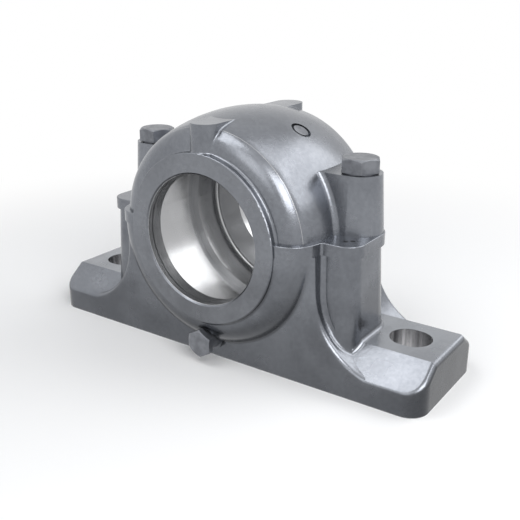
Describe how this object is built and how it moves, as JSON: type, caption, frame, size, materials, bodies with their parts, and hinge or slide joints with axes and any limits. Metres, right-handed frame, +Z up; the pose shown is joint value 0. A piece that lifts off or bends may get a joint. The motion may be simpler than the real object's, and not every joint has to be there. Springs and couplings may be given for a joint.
{
  "type": "split plummer block housing",
  "caption": "Split cast-iron plummer block housing: slotted foot, cradle and bolted cap round a stepped bearing bore, with drain plug and grease plug.",
  "frame": {"origin": "middle of the base's flat underside", "axes": "+X along the foot, +Y along the shaft towards the rear, +Z up; the drain plug is at the front, towards -Y"},
  "size_m": [0.28, 0.1086, 0.1518],
  "materials": {
    "casting": "satin grey casting with machined bores",
    "fastener": "dull dark steel"
  },
  "bodies": {
    "root": {"housing_base": "casting", "housing_cap": "casting", "cap_bolt_left": "fastener", "cap_bolt_right": "fastener", "dowel_pin_left": "fastener", "dowel_pin_right": "fastener", "drain_plug": "fastener", "lube_plug": "fastener"}
  },
  "joints": []
}
